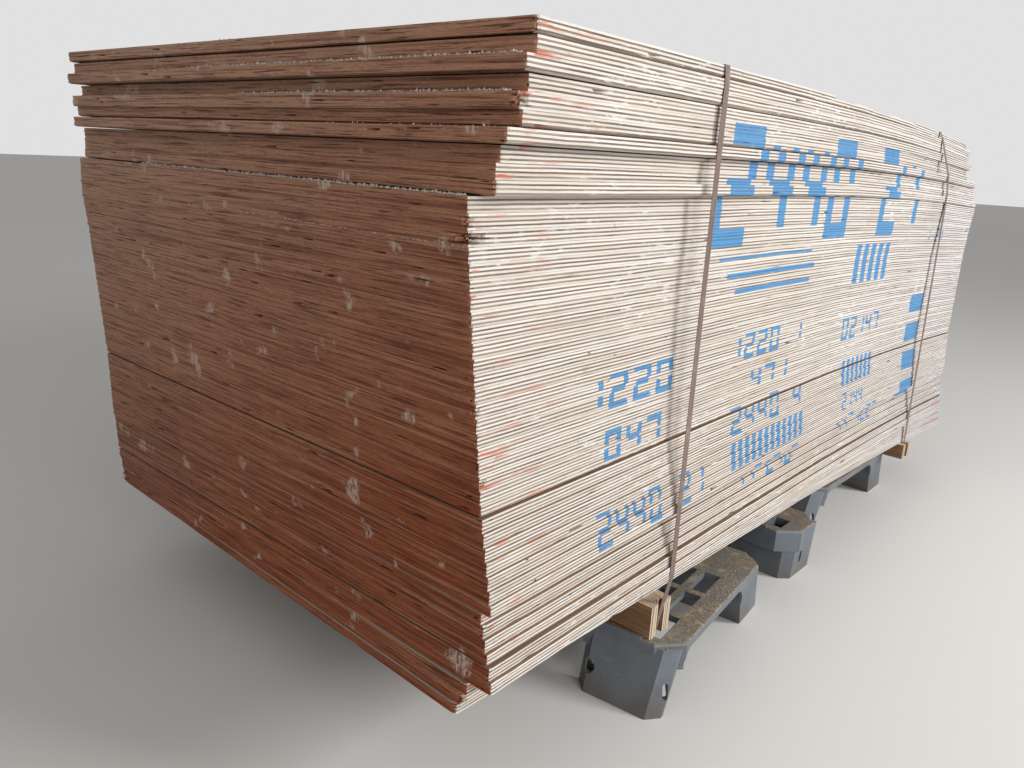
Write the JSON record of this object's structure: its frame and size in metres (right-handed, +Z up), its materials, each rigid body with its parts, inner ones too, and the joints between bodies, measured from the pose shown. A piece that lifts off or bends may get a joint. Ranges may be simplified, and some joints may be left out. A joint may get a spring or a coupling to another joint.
{
  "type": "strapped stack of plywood sheets on pallets",
  "caption": "Strapped stack of loose, slightly slid full-size plywood sheets on plywood bearers and moulded plastic pallets.",
  "frame": {"origin": "on the floor, under the middle of the object's box", "axes": "+X along the sheets' length, +Y across them away from the long face that overhangs the pallets, +Z up"},
  "size_m": [2.5166, 1.3765, 1.2002],
  "materials": {
    "plywood": "matte",
    "bearer": "matte",
    "pallet": "matte",
    "strap": "satin"
  },
  "bodies": {
    "root": {"far_bearer_left_strip": "bearer", "far_bearer_middle_strip": "bearer", "far_bearer_right_strip": "bearer", "far_pallet": "pallet", "far_strap": "strap", "middle_bearer_left_strip": "bearer", "middle_bearer_right_strip": "bearer", "middle_pallet": "pallet", "near_bearer_left_strip": "bearer", "near_bearer_middle_strip": "bearer", "near_bearer_right_strip": "bearer", "near_pallet": "pallet", "near_strap": "strap", "sheet_01": "plywood", "sheet_02": "plywood", "sheet_03": "plywood", "sheet_04": "plywood", "sheet_05": "plywood", "sheet_06": "plywood", "sheet_07": "plywood", "sheet_08": "plywood", "sheet_09": "plywood", "sheet_10": "plywood", "sheet_11": "plywood", "sheet_12": "plywood", "sheet_13": "plywood", "sheet_14": "plywood", "sheet_15": "plywood", "sheet_16": "plywood", "sheet_17": "plywood", "sheet_18": "plywood", "sheet_19": "plywood", "sheet_20": "plywood", "sheet_21": "plywood", "sheet_22": "plywood", "sheet_23": "plywood", "sheet_24": "plywood", "sheet_25": "plywood", "sheet_26": "plywood", "sheet_27": "plywood", "sheet_28": "plywood", "sheet_29": "plywood", "sheet_30": "plywood", "sheet_31": "plywood", "sheet_32": "plywood", "sheet_33": "plywood", "sheet_34": "plywood", "sheet_35": "plywood", "sheet_36": "plywood", "sheet_37": "plywood", "sheet_38": "plywood", "sheet_39": "plywood", "sheet_40": "plywood", "sheet_41": "plywood", "sheet_42": "plywood", "sheet_43": "plywood", "sheet_44": "plywood", "sheet_45": "plywood", "sheet_46": "plywood", "sheet_47": "plywood"}
  },
  "joints": []
}
